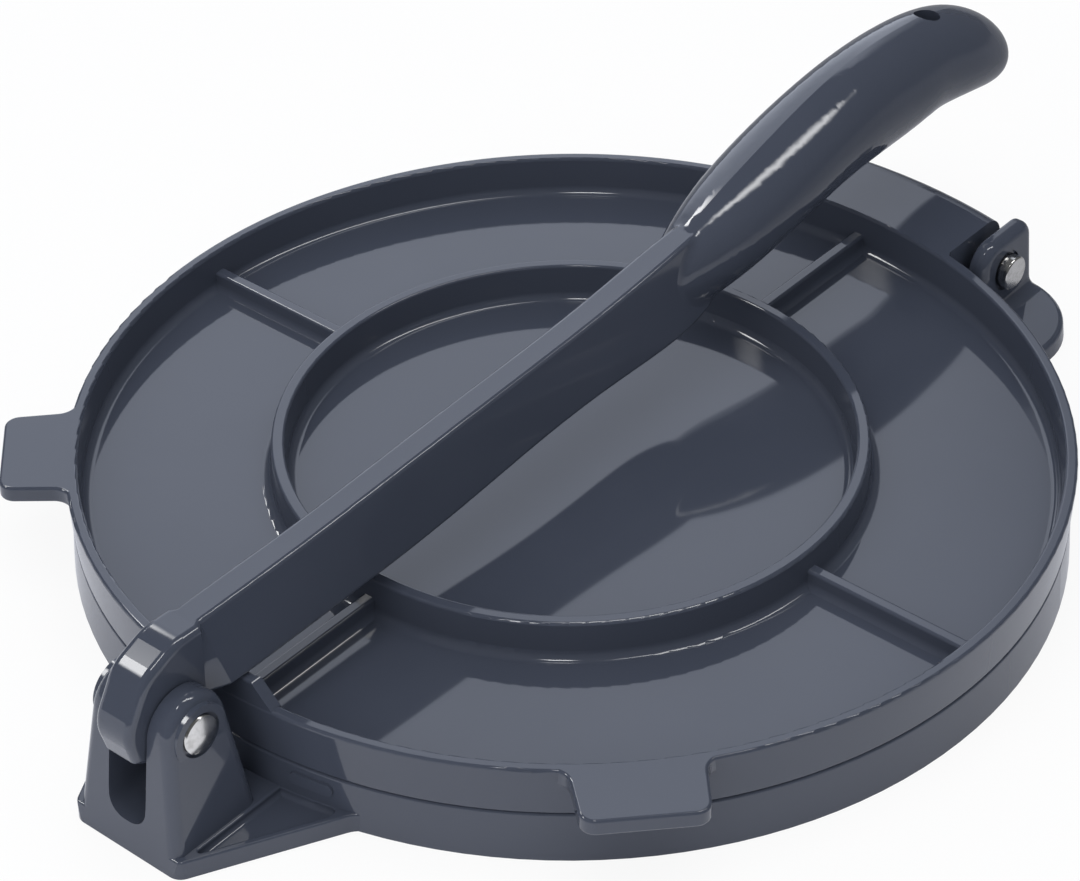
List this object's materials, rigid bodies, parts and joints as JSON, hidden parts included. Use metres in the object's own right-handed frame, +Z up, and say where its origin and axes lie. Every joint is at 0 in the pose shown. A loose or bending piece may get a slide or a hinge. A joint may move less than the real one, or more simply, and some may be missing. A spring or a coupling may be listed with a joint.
{
  "type": "tortilla press",
  "caption": "Cast aluminium tortilla press: a ribbed round lid hinged at the rear of a round base, pressed shut by a long curved lever that pivots in a fork at the front.",
  "frame": {"origin": "centre of the round base plate, on the plane it rests on", "axes": "+Z up; the lever's fork is at -Y and the lid's hinge at +Y; +X is to the right seen from the fork"},
  "size_m": [0.26, 0.3519, 0.0827],
  "materials": {
    "coated_casting": "glossy slate-grey baked coating over cast aluminium",
    "pin_steel": "bright turned steel"
  },
  "bodies": {
    "base": {"base_casting": "coated_casting", "lever_pivot_pin": "pin_steel", "rear_hinge_pin": "pin_steel"},
    "lid": {"lid_casting": "coated_casting"},
    "lever": {"lever_casting": "coated_casting"}
  },
  "joints": [
    {"name": "lever_pivot", "type": "hinge", "parent": "base", "child": "lever", "pos_m": [0, -0.149, 0.034], "axis": [1, 0, 0], "range_deg": [0, 175]},
    {"name": "lid_hinge", "type": "hinge", "parent": "base", "child": "lid", "pos_m": [0, 0.1445, 0.0165], "axis": [-1, 0, 0], "range_deg": [0, 100]}
  ],
  "couplings": [
    {"joint": "lid_hinge", "follows": "lever_pivot", "ratio": 0.06}
  ]
}
